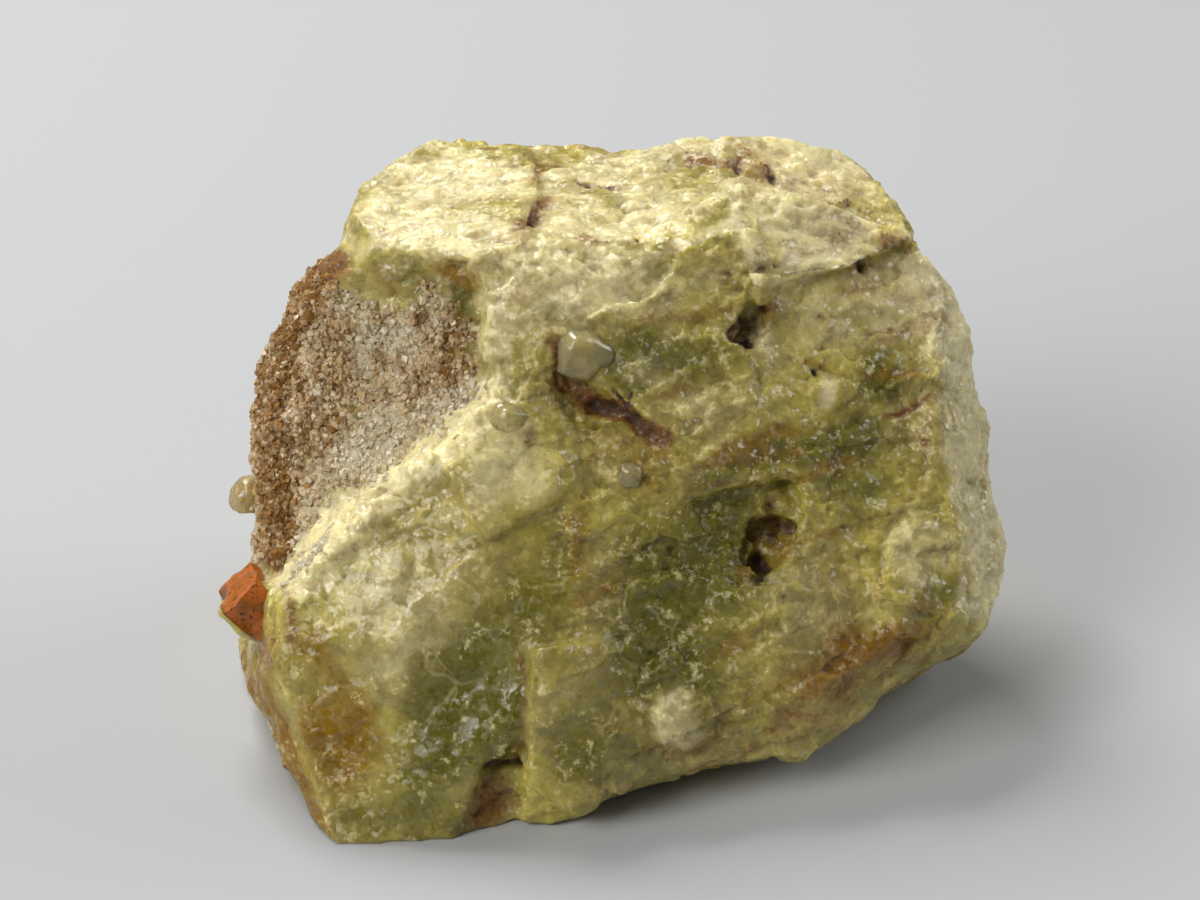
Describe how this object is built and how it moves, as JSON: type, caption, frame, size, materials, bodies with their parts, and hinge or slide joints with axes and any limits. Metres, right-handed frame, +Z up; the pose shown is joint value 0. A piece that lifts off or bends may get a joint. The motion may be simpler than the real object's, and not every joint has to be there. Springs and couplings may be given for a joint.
{
  "type": "mineral specimen",
  "caption": "Broken lump of pale green datolite with a cream top, a rusty grainy recess and small crystals, standing on a flat base.",
  "frame": {"origin": "middle of the bounding box's footprint, on the flat base", "axes": "+X along the widest extent, to the right as seen from the front; +Y from the front to the back; +Z up"},
  "size_m": [0.0638, 0.0466, 0.0409],
  "materials": {
    "datolite": "waxy to glassy broken surface, cream on top, stained brown by iron in the cracks and along one side"
  },
  "bodies": {
    "root": {"datolite": "datolite"}
  },
  "joints": []
}
